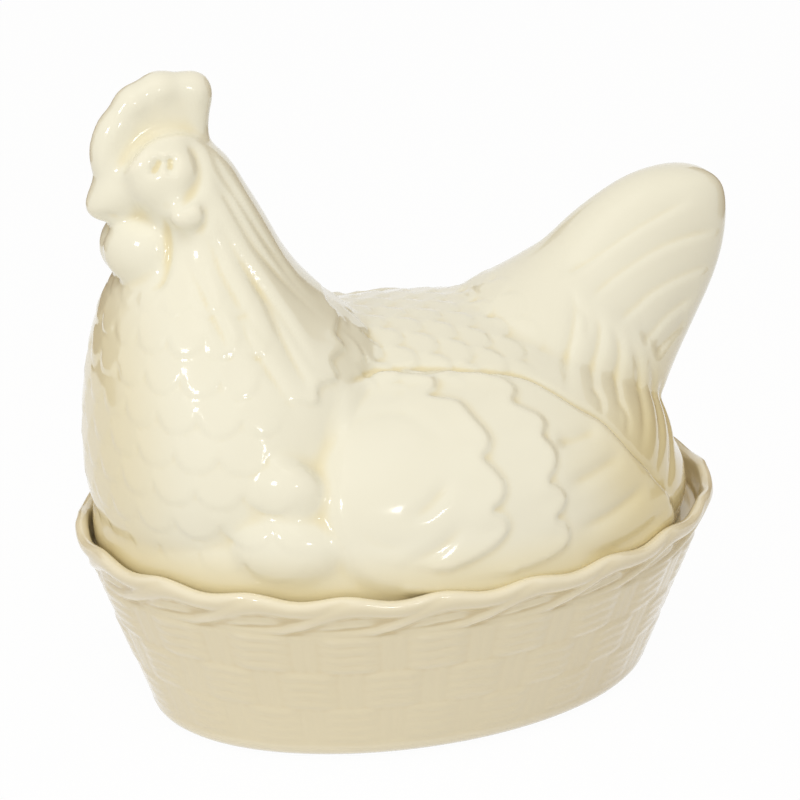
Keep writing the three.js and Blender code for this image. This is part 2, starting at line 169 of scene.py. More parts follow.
# crossing shells melted into one skin of small squares
def remeshed(bm, name, voxel):
    bmesh.ops.recalc_face_normals(bm, faces=bm.faces)
    piece = addToScene(name, meshOf(bm, name))
    modifier = piece.modifiers.new("remesh", "REMESH")
    modifier.mode = "VOXEL"
    modifier.voxel_size = voxel
    modifier.adaptivity = 0
    result = bpy.data.meshes.new_from_object(piece.evaluated_get(bpy.context.evaluated_depsgraph_get()))
    bpy.data.objects.remove(piece)
    return result


def readPoints(mesh):
    points = np.zeros(len(mesh.vertices) * 3)
    mesh.vertices.foreach_get("co", points)
    return points.reshape(-1, 3)


def readNormals(mesh):
    normals = np.zeros(len(mesh.vertices) * 3)
    mesh.vertices.foreach_get("normal", normals)
    return normals.reshape(-1, 3)


def writePoints(mesh, points):
    mesh.vertices.foreach_set("co", points.astype(np.float32).ravel())
    mesh.update()


# every point is moved part of the way to the middle of its neighbours, several times
def relaxed(mesh, points, times, amount=0.5):
    edges = np.zeros(len(mesh.edges) * 2, np.int64)
    mesh.edges.foreach_get("vertices", edges)
    first, second = edges.reshape(-1, 2).T
    count = len(points)
    links = np.bincount(first, minlength=count) + np.bincount(second, minlength=count)
    links = np.maximum(links, 1)
    for _ in range(times):
        moved = np.empty_like(points)
        for axis in range(3):
            moved[:, axis] = (np.bincount(first, points[second, axis], count)
                              + np.bincount(second, points[first, axis], count)) / links
        points = points + amount * (moved - points)
    return points


# how deep each point lies under the surface round it, for the glaze to pool
def writeRecess(mesh, depth, times=14):
    points, normals = readPoints(mesh), readNormals(mesh)
    away = ((relaxed(mesh, points, times) - points) * normals).sum(1)
    recess = np.clip(away / depth, -1, 1)
    attribute = mesh.attributes.new("recess", "FLOAT", "POINT")
    attribute.data.foreach_set("value", recess.astype(np.float32))


def finishPiece(name, mesh, body, node, material):
    mesh.transform(Matrix.Scale(mm * fit, 4))
    mesh.materials.append(material)
    mesh.shade_smooth()
    piece = addToScene(name, mesh)
    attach(piece, body)
    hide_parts(node)


# a field of moves over the hen's skin, the same on her two sides
class Relief:
    lineSteps = 8  # places between two corners of a line
    farOut = 200  # lines are cast onto her side from this far out
    reach = 3  # a line acts as far as this many of its widths
    lip = 0.35  # share by which an edge is rounded off
    tipRound, tipFade, tipEdge = 0.75, 1.6, 0.16  # a scale's form, in rows

    def __init__(self, mesh):
        self.points = readPoints(mesh)
        self.normals = readNormals(mesh)
        flip = np.where(self.points[:, 1] > 0, -1.0, 1.0)
        self.near = self.points * np.stack([np.ones(len(flip)), flip, np.ones(len(flip))], 1)
        bm = bmesh.new()
        bm.from_mesh(mesh)
        self.tree = BVHTree.FromBMesh(bm)
        bm.free()
        self.move = np.zeros(len(self.points))

    def castLine(self, corners):
        hits = []
        for x, z in smoothRows(corners, self.lineSteps):
            hit = self.tree.ray_cast(Vector((x, -self.farOut, z)), Vector((0, 1, 0)))[0]
            if hit is not None:
                hits.append(hit)
        return np.array(hits)

    def away(self, line, reach):
        low, high = line.min(0) - reach, line.max(0) + reach
        chosen = np.nonzero(((self.near > low) & (self.near < high)).all(1))[0]
        gap, part = nearestOnLine(self.near[chosen], line)
        return chosen, gap, part

    # a negative depth makes a ridge
    def groove(self, corners, width, depth, taper):
        chosen, gap, part = self.away(self.castLine(corners), width * self.reach)
        self.move[chosen] -= depth * taperedEnds(part, taper) * np.exp(-(gap / width) ** 2)

    # feathers that end at a line: they stand proud there and sink away behind it
    def shingle(self, corners, back, height, run, edge=0.9):
        chosen, gap, _ = self.away(self.castLine(corners), run * self.reach)
        outline = np.vstack([smoothRows(corners, self.lineSteps), np.array(back, float)])
        inside = withinOutline(self.near[chosen][:, [0, 2]], outline)
        brink = np.exp(-(gap / edge) ** 2 * 2)
        rise = np.where(inside, np.exp(-gap / run) * (1 - (1 - self.lip) * brink), self.lip * brink)
        self.move[chosen] += height * rise

    # one feather over another along a line: the side to the left of its run stands proud
    def fold(self, corners, height, run, taper, step):
        line = self.castLine(corners)
        chosen, gap, part = self.away(line, run * self.reach)
        spots = self.near[chosen][:, [0, 2]]
        index = np.clip(np.rint(part * (len(line) - 1)).astype(int), 1, len(line) - 2)
        ahead = (line[index + 1] - line[index - 1])[:, [0, 2]]
        off = spots - line[index][:, [0, 2]]
        side = np.sign(ahead[:, 0] * off[:, 1] - ahead[:, 1] * off[:, 0])
        rise = np.exp(-gap / run) * smoothStep(-step, step, side * gap)
        rise -= self.lip * np.exp(-(gap / (1.6 * step)) ** 2)
        self.move[chosen] += height * taperedEnds(part, taper) * rise

    # a closed outline stands out from her side; height and softness of the edge have a value for every point
    def swell(self, outline, height, soft, sideOnly=-20, margin=12):
        dense = smoothRows(outline, 6, closed=True)
        flat = self.near[:, [0, 2]]
        low, high = dense.min(0) - margin, dense.max(0) + margin
        chosen = np.nonzero(((flat > low) & (flat < high)).all(1) & (self.near[:, 1] < sideOnly))[0]
        gap, _ = nearestOnLine(flat[chosen], np.vstack([dense, dense[:1]]))
        signed = gap * np.where(withinOutline(flat[chosen], dense), 1, -1)
        self.move[chosen] += height[chosen] * smoothStep(-0.5, 1.0, signed / soft[chosen])

    # rows of overlapping scales: along runs towards the tips, across runs sideways
    def scales(self, along, across, row, width, height, mask):
        best = np.zeros(len(along))
        done = np.zeros(len(along), bool)
        first = np.floor(along / row).astype(int) - 1
        for step in range(4):
            index = first + step
            place = across / width - np.where(index % 2 == 0, 0.0, 0.5)
            off = place - np.round(place)
            curve = 1 - np.sqrt(np.clip(1 - (2 * off) ** 2 * 0.96, 0, 1))
            tip = (index + 1) * row - row * self.tipRound * curve
            over = (along < tip) & ~done
            rise = np.clip(1 - (tip - along) / (row * self.tipFade), 0, 1)
            edge = smoothStep(0, row * self.tipEdge, tip - along)
            best = np.where(over, rise * edge, best)
            done |= over
        self.move += height * best * mask


henShape = {
    "seat": 69.3,  # the skirt rests on the dish's ledge at this height
    "setForward": 1,  # the hen sits this much towards the front of the dish
    "sides": 96,
    "rowSteps": 3,  # rings from one row below to the next
    "voxel": 1.28,
    "firstSmoothing": 8,
    "lastSmoothing": 2,
    "poolDepth": 0.8,  # the glaze pools fully where a groove is this deep
    # the body's ovals grow fuller from row to row, the leaning ones are all alike
    "fullness": {"plain": 2, "step": 0.05, "plainRows": 2, "most": 2.15, "leaning": 2.1},
    # height, middle x, half length, half width
    "body": [(60, -1.8, 114, 85.5), (69.3, -1.8, 115.4, 86.4), (74, -1.8, 116.6, 87.2),
             (80, -1.6, 117.2, 87.8), (86, -1.6, 116.2, 87.5), (92, -1.5, 113.6, 87), (98, -1.4, 110, 86.2),
             (106, -1.2, 107.2, 85), (114, -0.8, 103.2, 82.2), (122, 0, 97.5, 77), (130, 0, 89.5, 69),
             (137, 0, 81.5, 59.5), (143, 0, 73, 48.5), (147.8, 0, 62, 39), (151.5, 0, 50, 29.5),
             (154.2, 0, 37, 20), (155.6, 0, 22, 9)],
    # front x, front height, back x, back height, half width
    "neck": [(-111, 66, -20, 66, 50), (-112, 76, -20, 76, 52), (-116.5, 86, -16, 86, 57),
             (-119.3, 97, -12, 97, 63), (-120, 110, -9, 110, 66.5), (-119.6, 122, -8, 121, 65.5),
             (-118.6, 134, -8, 132, 62.5), (-117, 146, -9, 143, 58), (-114.6, 157, -14, 152, 52),
             (-111.6, 167, -24, 161, 46.5), (-108, 175, -34, 171, 40.5), (-102, 184, -41.5, 180, 35),
             (-97, 191.5, -47.3, 189, 30.5), (-96, 198.5, -52, 198, 27.5), (-99.5, 205, -56.5, 206, 26),
             (-103.5, 212, -60.3, 212.5, 23), (-105.5, 219, -64.3, 219.5, 20.5),
             (-103, 225.5, -70, 225.5, 18), (-97, 230, -76, 230, 13.5), (-91, 233, -82, 233, 6.5)],
    "tail": [(10, 143, 97, 96, 46), (23, 153, 102, 107, 42.5), (36, 160.8, 108.5, 117.5, 37.5),
             (48, 167, 115.3, 128.5, 31), (60, 174, 122, 139.5, 25), (71, 183.5, 128.8, 152, 20.5),
             (82.5, 191.5, 133.4, 164.5, 17), (94.2, 197.3, 135, 176, 14.5),
             (106, 200.1, 134.6, 185.5, 12), (117.5, 200.2, 132.8, 191.5, 9), (125, 198.2, 130, 195, 5)],
    # x, height, radius along the comb's thick edge, from the back of the head to the beak
    "comb": [(-77.2, 226, 6.2), (-76.9, 233, 5.8), (-76.4, 239, 6.2), (-76.4, 245, 6.8), (-82.6, 246, 5.7),
             (-88.8, 246, 6.9), (-93.8, 244.8, 5.4), (-98.2, 241.6, 6.9), (-102.4, 237.8, 5.4),
             (-104.8, 233, 7), (-107.8, 227, 6.7), (-107.8, 221, 6.8), (-105, 216, 6)],
    "combSteps": 4,
    "combWeb": 10.8,  # thickness of the comb inside its edge
    # x, height, half height, half width of the beak from root to tip
    "beak": [(-96, 214, 13, 12), (-101, 213.5, 12.6, 11.2), (-106, 212, 11.5, 9.8), (-110, 210.2, 9.8, 8.2),
             (-112.6, 208.8, 8, 6.6), (-114.8, 207.5, 5.6, 5), (-116.8, 206.5, 2.4, 2.2)],
    "beakSides": 32,
    # place, half sizes, turn round the upright axis in degrees
    "lumps": {
        "wattle": ((-100.4, 8.4, 190), (13.6, 7.2, 12), 38),
        "chin": ((-101, 2, 200), (7, 6, 6), 0),
        "earLobe": ((-86.6, 24.6, 207), (6.8, 2.6, 5.4), 12),
        "cheek": ((-90.5, 13, 217.5), (14, 8.6, 12.6), 14),
        "upperEgg": ((-65.5, 65.6, 115.5), (14, 7.4, 12.6), 28),
        "lowerEgg": ((-66.5, 70.4, 96), (19, 7.6, 12.6), 28),
    },
    # round the eggs and between cheek and beak the joins are melted further
    "melted": {"lumps": ("upperEgg", "lowerEgg"), "besideBeak": (-101, 13, 217),
               "radius": 26, "full": 0.7, "times": 10},
    "hollow": {"wall": 5, "sides": 48, "bodyRows": 10, "neckRows": 14, "tailRows": 7,
               "voxel": 4.0, "smoothing": 4},
}

# Feathers and face. All lines are x, height, as seen from her side.
henFeathers = {
    "wing": {
        "height": 3.4,
        "lower": 2.4, "lowerAbove": (132, 146), "lowerBefore": (0, 30),  # flatter at the top of its front
        "soft": 1.8, "frontSoft": 6, "frontEnds": -30, "footSoft": 4, "footEnds": 90,
        "outline": [(-37, 148), (-25, 146), (-12, 146), (0, 145), (14, 143.5), (29, 140.5), (38, 136),
                    (47, 130), (55, 125), (61, 118.5), (66, 112.5), (72, 106.5), (77, 100), (83, 93),
                    (88, 86), (89, 79), (82, 75), (65, 75), (35, 75), (0, 76), (-20, 79), (-38, 83),
                    (-48, 91), (-53, 103), (-52, 118), (-48, 130), (-43, 142)],
    },
    # rows of feathers that end at a scalloped line; back closes the area that they cover
    "shingles": {
        "secondRow": {
            "height": 2.1, "run": 9,
            "line": [(5, 144), (14, 142), (20, 140.3), (23, 137.5), (20, 134.8), (24, 132.6), (28, 130.5),
                     (29.5, 128), (27, 125.2), (29, 123), (30.5, 119.5), (28.5, 116), (25.5, 113),
                     (29, 110.5), (31.5, 107), (30, 103.5), (27, 101), (31, 97.5), (32.5, 93.5),
                     (30, 89.5), (22, 86.5), (12, 85)],
            "back": [(-20, 85), (-30, 115), (-15, 144)]},
        "firstRow": {
            "height": 2.3, "run": 10,
            "line": [(-22, 146), (-10, 144), (-5, 142.5), (-6, 140.5), (-9, 139), (0, 137), (3, 133),
                     (6.5, 128), (5.5, 124.5), (2.5, 122.5), (6, 118.5), (8.5, 114), (6.5, 110),
                     (3, 107.5), (7, 104.5), (8, 100.5), (4, 96), (-4, 92), (-14, 89)],
            "back": [(-45, 95), (-50, 115), (-40, 145)]},
        "cape": {
            "height": 1.6, "run": 8,
            "line": [(-31, 172), (-35, 168), (-32, 164), (-37, 161), (-35, 157), (-42, 155), (-41, 150),
                     (-49, 149), (-50, 144)],
            "back": [(-75, 150), (-75, 175), (-45, 185)]},
    },
    # long feathers, each laid over the next; width and depth are those of the groove between them
    "folds": {
        "neck": {
            "height": 1.3, "run": 6, "taper": 0.35, "step": 1.8, "width": 1.9, "depth": 0.7,
            "lines": [[(-74, 228), (-72, 221), (-68, 213), (-63, 203), (-57, 192), (-49, 179), (-40, 168)],
                      [(-76, 222), (-72, 214), (-69, 208), (-63, 195), (-57, 186), (-50, 177), (-39, 164)],
                      [(-78, 214), (-74, 202), (-70, 193), (-65, 184), (-59, 175), (-55, 167),
                       (-51, 158), (-48, 151)],
                      [(-82, 204), (-78, 195), (-76, 187), (-72, 178), (-68, 170), (-63, 160)],
                      [(-88, 194), (-84, 182), (-82, 175), (-79, 167), (-76, 156)],
                      [(-69, 192), (-65, 184), (-61, 174), (-58, 164), (-54, 153), (-51, 146)],
                      [(-77, 185), (-73, 174), (-71, 166), (-67, 158), (-62, 149), (-57, 141)]]},
        "saddle": {
            "height": 1.4, "run": 6, "taper": 0.35, "step": 1.8, "width": 2, "depth": 0.6,
            "lines": [[(62, 164), (61, 156), (57, 148), (52, 140), (46, 133)],
                      [(66, 158), (69, 151), (67, 144), (62, 136), (56, 128)],
                      [(73, 152), (76, 144), (75, 137), (70, 128), (64, 119)],
                      [(80, 145), (84, 136), (84, 127), (79, 117), (72, 109)],
                      [(88, 138), (92, 128), (92, 118), (87, 108), (79, 99)],
                      [(94, 130), (98, 120), (98, 110), (93, 99), (86, 90)]]},
        "tail": {
            "height": -1.3, "run": 6, "taper": 0.2, "step": 1, "width": 1.8, "depth": 0.3,
            "lines": [[(60, 166), (74, 172), (92, 181), (116, 190)],
                      [(67, 158), (79, 164.5), (97, 172), (112, 175), (130, 175)],
                      [(76, 149), (86, 153), (96, 157.5), (112, 161), (128, 161)],
                      [(87, 140), (94, 143), (103, 147.5), (118, 151.5)],
                      [(93, 134), (103, 138), (113, 141.5)]]},
    },
    "grooves": {
        "quills": {
            "width": 2.8, "depth": 1.5, "taper": 0.3,
            "lines": [[(60, 113), (52, 112.5), (43, 111), (32, 110)],
                      [(70, 100), (60, 97.5), (49, 95), (35, 94)],
                      [(52, 123), (45, 122.5), (38, 122.5), (32, 124)],
                      [(81, 87), (68, 84), (52, 82.5), (38, 83)]]},
        "wingMiddle": {
            "width": 2.6, "depth": 1.1, "taper": 0.4,
            "lines": [[(-9, 119), (-15, 114), (-21, 110), (-28, 107.5)]]},
        "wingFoot": {
            "width": 2.6, "depth": 1.0, "taper": 0.4,
            "lines": [[(-7, 106), (-13, 99.5), (-22, 94.5), (-31, 92)]]},
        "shoulder": {
            "width": 2.6, "depth": 0.5, "taper": 0.4,
            "lines": [[(-46, 122), (-42, 131), (-33, 135), (-22, 136), (-14, 132), (-9, 125)],
                      [(-45, 112), (-41, 103), (-33, 99), (-24, 101)]]},
        "wingTop": {
            "width": 1.5, "depth": 1.4, "taper": 0.1,
            "lines": [[(-38, 148), (-25, 146.4), (-12, 146.6), (0, 145.8), (14, 144), (29, 141.4),
                       (38, 137), (47, 131), (55.5, 125.6), (66, 113.6), (77, 101), (85, 90)]]},
        "saddleGaps": {
            "width": 1.5, "depth": 0.8, "taper": 0.35,
            "lines": [[(58, 134), (60, 130), (57, 126)], [(69, 128), (70, 122), (66, 117)],
                      [(62, 158), (64, 153), (62, 147)]]},
        "cheek": {
            "width": 2.6, "depth": 1.5, "taper": 0.25,
            "lines": [[(-86, 230.5), (-81, 228.5), (-79.4, 223), (-80.6, 218), (-84.5, 213.6),
                       (-89.5, 210.4), (-95, 208.6)]]},
        "brow": {
            "width": 2.6, "depth": -1.4, "taper": 0.25,
            "lines": [[(-108, 216.5), (-103.5, 220.5), (-99.5, 225.5), (-95, 229), (-89, 230.6),
                       (-82, 230.2), (-77, 227.5)]]},
        "eyeSlits": {
            "width": 1.5, "depth": 3.2, "taper": 0.25,
            "lines": [[(-93.4, 226.8), (-95.2, 224), (-97.4, 220.8)],
                      [(-90, 227.2), (-90.4, 224.6), (-91, 221.6)]]},
        "mouth": {
            "width": 1.3, "depth": 0.8, "taper": 0.3,
            "lines": [[(-116, 203.5), (-111, 203.8), (-106, 204)]]},
        "throat": {
            "width": 1.8, "depth": 1.3, "taper": 0.25,
            "lines": [[(-94, 206), (-92.4, 201), (-92.2, 195), (-93.2, 188.5), (-96.5, 182.5),
                       (-101, 179)]]},
        "earLobe": {
            "width": 1.6, "depth": 1.0, "taper": 0.3,
            "lines": [[(-81.5, 211.5), (-79.8, 207.5), (-81, 203), (-85, 200.3)]]},
    },
    # scales, round an upright axis on the breast; each pair is where they fade in or out
    "breast": {"axis": -62, "radius": 52, "from": 210, "row": 12.5, "width": 13.5, "height": 0.9,
               "low": (82, 96), "high": (168, 186), "rear": (-72, -58)},
    "back": {"lean": 0.15, "row": 10.5, "width": 12, "height": 1.5,
             "front": (-34, -24), "rear": (30, 50), "low": (146, 150), "rounding": 0.12},
}


# flat rings for the body, leaning rings for neck and tail
def bodyRings(rows, sides, grow=0.0):
    steps, full = henShape["rowSteps"], henShape["fullness"]
    rings = []
    for ring, (height, middle, halfLength, halfWidth) in enumerate(smoothRows(rows, steps)):
        fuller = full["plain"] + full["step"] * max(ring / steps - full["plainRows"], 0)
        along, across = ovalTurn(sides, min(fuller, full["most"]))
        rings.append(np.stack([middle + along * (halfLength + grow), across * (halfWidth + grow),
                               np.full(sides, height)], 1))
    return rings


def leaningRings(rows, sides, grow=0.0):
    along, across = ovalTurn(sides, henShape["fullness"]["leaning"])
    rings = []
    for frontX, frontZ, backX, backZ, halfWidth in smoothRows(rows, henShape["rowSteps"]):
        middle = np.array([(frontX + backX) / 2, 0, (frontZ + backZ) / 2])
        axis = np.array([backX - frontX, 0, backZ - frontZ])
        half = np.linalg.norm(axis) / 2
        axis = axis / (2 * half)
        rings.append(middle + np.outer(along * (half + grow), axis)
                     + np.outer(across * (halfWidth + grow), [0, 1, 0]))
    return rings


# a flat web with a row of balls along its edge
def addComb(bm):
    edge = smoothRows(henShape["comb"], henShape["combSteps"])
    for x, z, radius in edge:
        bmesh.ops.create_uvsphere(bm, u_segments=20, v_segments=12, radius=radius,
                                  matrix=Matrix.Translation((x, 0, z)))
    web = henShape["combWeb"]
    rim = addCircle(bm, [(x, -web / 2, z) for x, z, _ in edge])
    face = bmesh.ops.contextual_create(bm, geom=rim)["faces"][0]
    grown = bmesh.ops.extrude_face_region(bm, geom=[face])["geom"]
    far = [part for part in grown if isinstance(part, bmesh.types.BMVert)]
    bmesh.ops.translate(bm, verts=far, vec=(0, web, 0))


def addBeak(bm):
    sides = henShape["beakSides"]
    along, across = ovalTurn(sides, henShape["fullness"]["plain"])
    addLoft(bm, [np.stack([np.full(sides, x), -across * halfWidth, z + along * halfHeight], 1)
                 for x, z, halfHeight, halfWidth in smoothRows(henShape["beak"], henShape["rowSteps"])])


# body, head and eggs as one smooth skin, before the feathers
def castHen():
    shape = henShape
    bm = bmesh.new()
    addLoft(bm, bodyRings(shape["body"], shape["sides"]))
    addLoft(bm, leaningRings(shape["neck"], shape["sides"]))
    addLoft(bm, leaningRings(shape["tail"], shape["sides"]))
    addComb(bm)
    addBeak(bm)
    for side in (1, -1):
        for place, halfSizes, turn in shape["lumps"].values():
            addLump(bm, place, halfSizes, turn, side)
    mesh = remeshed(bm, "henRough", shape["voxel"])
    say(f"hen remeshed, {len(mesh.vertices)} points")
    points = relaxed(mesh, readPoints(mesh), shape["firstSmoothing"])
    folded = points * [1, 0, 1] + np.abs(points) * [0, 1, 0]
    melted = shape["melted"]
    share = np.zeros(len(points))
    for place in [shape["lumps"][name][0] for name in melted["lumps"]] + [melted["besideBeak"]]:
        away = np.linalg.norm((folded - place) / melted["radius"], axis=1)
        share = np.maximum(share, 1 - smoothStep(melted["full"], 1, away))
    writePoints(mesh, relaxed(mesh, points, melted["times"], 0.5 * share[:, None]))
    return mesh


def pressFeathers(relief):
    feathers = henFeathers
    x, y, z = relief.near.T
    wing = feathers["wing"]
    lower = smoothStep(*wing["lowerAbove"], z) * (1 - smoothStep(*wing["lowerBefore"], x))
    soft = np.where(z < wing["footEnds"], wing["footSoft"], wing["soft"])
    soft = np.where(x < wing["frontEnds"], wing["frontSoft"], soft)
    relief.swell(wing["outline"], wing["height"] - wing["lower"] * lower, soft)
    for row in feathers["shingles"].values():
        relief.shingle(row["line"], row["back"], row["height"], row["run"])
    for kind in feathers["folds"].values():
        for line in kind["lines"]:
            relief.fold(line, kind["height"], kind["run"], kind["taper"], kind["step"])
            relief.groove(line, kind["width"], kind["depth"], kind["taper"])
    for kind in feathers["grooves"].values():
        for line in kind["lines"]:
            relief.groove(line, kind["width"], kind["depth"], kind["taper"])
    breast = feathers["breast"]
    around = np.arctan2(y, -(x - breast["axis"])) * breast["radius"]
    mask = (smoothStep(*breast["low"], z) * (1 - smoothStep(*breast["high"], z))
            * (1 - smoothStep(*breast["rear"], x)))
    relief.scales(breast["from"] - z, around, breast["row"], breast["width"], breast["height"], mask)
    back = feathers["back"]
    mask = (smoothStep(*back["front"], x) * (1 - smoothStep(*back["rear"], x))
            * smoothStep(*back["low"], z + back["rounding"] * np.abs(y)))
    relief.scales(x + back["lean"] * y, y, back["row"], back["width"], back["height"], mask)


# the inside of her shell, a wall's thickness in from body, neck and tail
def henHollow():
    shape, hollow = henShape, henShape["hollow"]
    sides, wall = hollow["sides"], hollow["wall"]
    bm = bmesh.new()
    addLoft(bm, bodyRings(shape["body"][:hollow["bodyRows"]], sides, -wall))
    addLoft(bm, leaningRings(shape["neck"][:hollow["neckRows"]], sides, -wall))
    addLoft(bm, leaningRings(shape["tail"][:hollow["tailRows"]], sides, -wall))
    mesh = remeshed(bm, "hollow", hollow["voxel"])
    writePoints(mesh, relaxed(mesh, readPoints(mesh), hollow["smoothing"]) - [shape["setForward"], 0, 0])
    bm = bmesh.new()
    bm.from_mesh(mesh)
    cutBelow(bm, shape["seat"])
    bmesh.ops.reverse_faces(bm, faces=bm.faces)
    return meshOf(bm, "hollow")


def makeHen(material):
    shape = henShape
    mesh = castHen()
    relief = Relief(mesh)
    pressFeathers(relief)
    points = relaxed(mesh, relief.points + relief.normals * relief.move[:, None], shape["lastSmoothing"])
    writePoints(mesh, points - [shape["setForward"], 0, 0])
    say("feathers pressed")

    # open below, with the hollow's skin joined on along the skirt's foot
    bm = bmesh.new()
    bm.from_mesh(mesh)
    cutBelow(bm, shape["seat"])
    bm.from_mesh(henHollow())
    loops = [edge for edge in bm.edges if edge.is_boundary]
    bmesh.ops.triangle_fill(bm, edges=loops, use_beauty=True, use_dissolve=False, normal=(0, 0, -1))
    say(f"hen closed, {triangles(bm)} triangles")
    mesh = meshOf(bm, "hen")
    writeRecess(mesh, shape["poolDepth"])
    finishPiece("hen", mesh, "lid", "hen_lid", material)


dishShape = {
    "length": 254, "width": 190, "height": 81,
    "reliefRoom": 2,  # the wall stays this far inside the rim's outline
    "footLength": 205, "footWidth": 132, "footHeight": 9,
    "footBack": 1.5,  # the foot sits this much nearer the tail than the rim does
    "standLength": 184, "standWidth": 108,
    "rimWall": 5.5, "rimLean": 1.5, "rimDip": 2.1,
    "crownFoot": 1.2, "crownRise": 1.8, "crownDrop": 0.4,  # the rounding over the rim
    "ledgeHeight": 69, "ledgeWidth": 8,
    "bowl": [(0, 0), (0.05, 0.12), (0.4, 0.6), (0.72, 0.9), (1, 1)],  # shares of the way in and down
    "bowlSteps": 4,
    "floorHeight": 7, "floorLength": 184, "floorWidth": 116,
    "columns": 640, "weaveLines": 66, "ropeLines": 24, "cornerLines": 8,
    "smoothing": 2,
    "poolDepth": 0.45,
    "lobes": 20,
    "ropeHeight": 17,
    # a strand's middle and half width, in shares of the rope's height, and its thickness,
    # by how many lobes it has run
    "strand": {"run": [0.0, 0.3, 0.6, 0.8, 1.0, 1.2, 1.4, 1.6, 1.9, 2.2, 2.5],
               "middle": [0.04, 0.04, 0.07, 0.14, 0.34, 0.58, 0.74, 0.82, 0.84, 0.84, 0.84],
               "half": [0.08, 0.11, 0.13, 0.16, 0.22, 0.26, 0.28, 0.29, 0.29, 0.28, 0.26],
               "thick": [-0.6, 0.2, 0.6, 0.9, 1.3, 1.6, 1.8, 1.8, 1.7, 1.5, 0.8],
               "floor": -0.8, "roundness": 0.7},
    # thin strands inside each eye of the rope: middle, thickness
    "eyeStrands": {"strands": ((0.3, 0.5), (0.43, 0.2)), "lean": 0.22, "half": 0.07,
                   "start": (0.12, 0.35), "end": (0.6, 0.85)},
    "weave": {"rows": 3, "wickers": 4, "block": (0.16, 0.40), "flat": 0.5, "round": 0.55, "sharpness": 0.8,
              "stake": 0.3, "stakePlace": 0.43, "stakeHalf": 0.07, "endFade": 0.1, "endHeight": 0.55,
              "strength": 1.15, "footLoss": 0.7, "waver": 0.02, "slowWaver": 0.03},
}


def ropeRelief(share, band):
    strand, eye = dishShape["strand"], dishShape["eyeStrands"]
    place = share * dishShape["lobes"]
    within = place - np.floor(place)
    floor = strand["floor"]
    best = np.full(place.shape, floor)
    for lobesBack in range(3):
        ran = within + lobesBack
        centre, half, top = (np.interp(ran, strand["run"], strand[name])
                             for name in ("middle", "half", "thick"))
        slope = np.clip(1 - ((band - centre) / half) ** 2, 0, 1)
        rise = (top - floor) * slope ** strand["roundness"] + floor
        best = np.maximum(best, np.where(ran > strand["run"][-1], floor, rise))
    fade = smoothStep(*eye["start"], within) * (1 - smoothStep(*eye["end"], within))
    for centre, thin in eye["strands"]:
        off = (band - centre - eye["lean"] * (within - 0.5)) / eye["half"]
        best = np.maximum(best, floor + (thin - floor) * fade * np.sqrt(np.clip(1 - off ** 2, 0, 1)))
    return best


# down runs from the rope to the foot
def weaveRelief(share, down):
    weave = dishShape["weave"]
    course = np.clip(np.floor(down * weave["rows"]), 0, weave["rows"] - 1)
    within = down * weave["rows"] - course
    place = share * dishShape["lobes"] + 0.5 * (course % 2)
    off = np.abs(place - np.floor(place) - 0.5)
    block = 1 - smoothStep(*weave["block"], off)
    # the wickers waver a little, as pressed clay does
    wander = (weave["waver"] * np.sin(tau * 2 * place + 2.1 * course)
              + weave["slowWaver"] * np.sin(tau * 7 * share + course))
    wicker = np.abs(np.sin((within + wander) * math.pi * weave["wickers"])) ** weave["sharpness"]
    stake = np.exp(-((off - weave["stakePlace"]) / weave["stakeHalf"]) ** 2)
    ends = smoothStep(0, weave["endFade"], within) * (1 - smoothStep(1 - weave["endFade"], 1, within))
    rise = (block * (weave["flat"] + weave["round"] * wicker)
            * (weave["endHeight"] + (1 - weave["endHeight"]) * ends))
    return np.maximum(rise, weave["stake"] * stake) * (weave["strength"] - weave["footLoss"] * down)


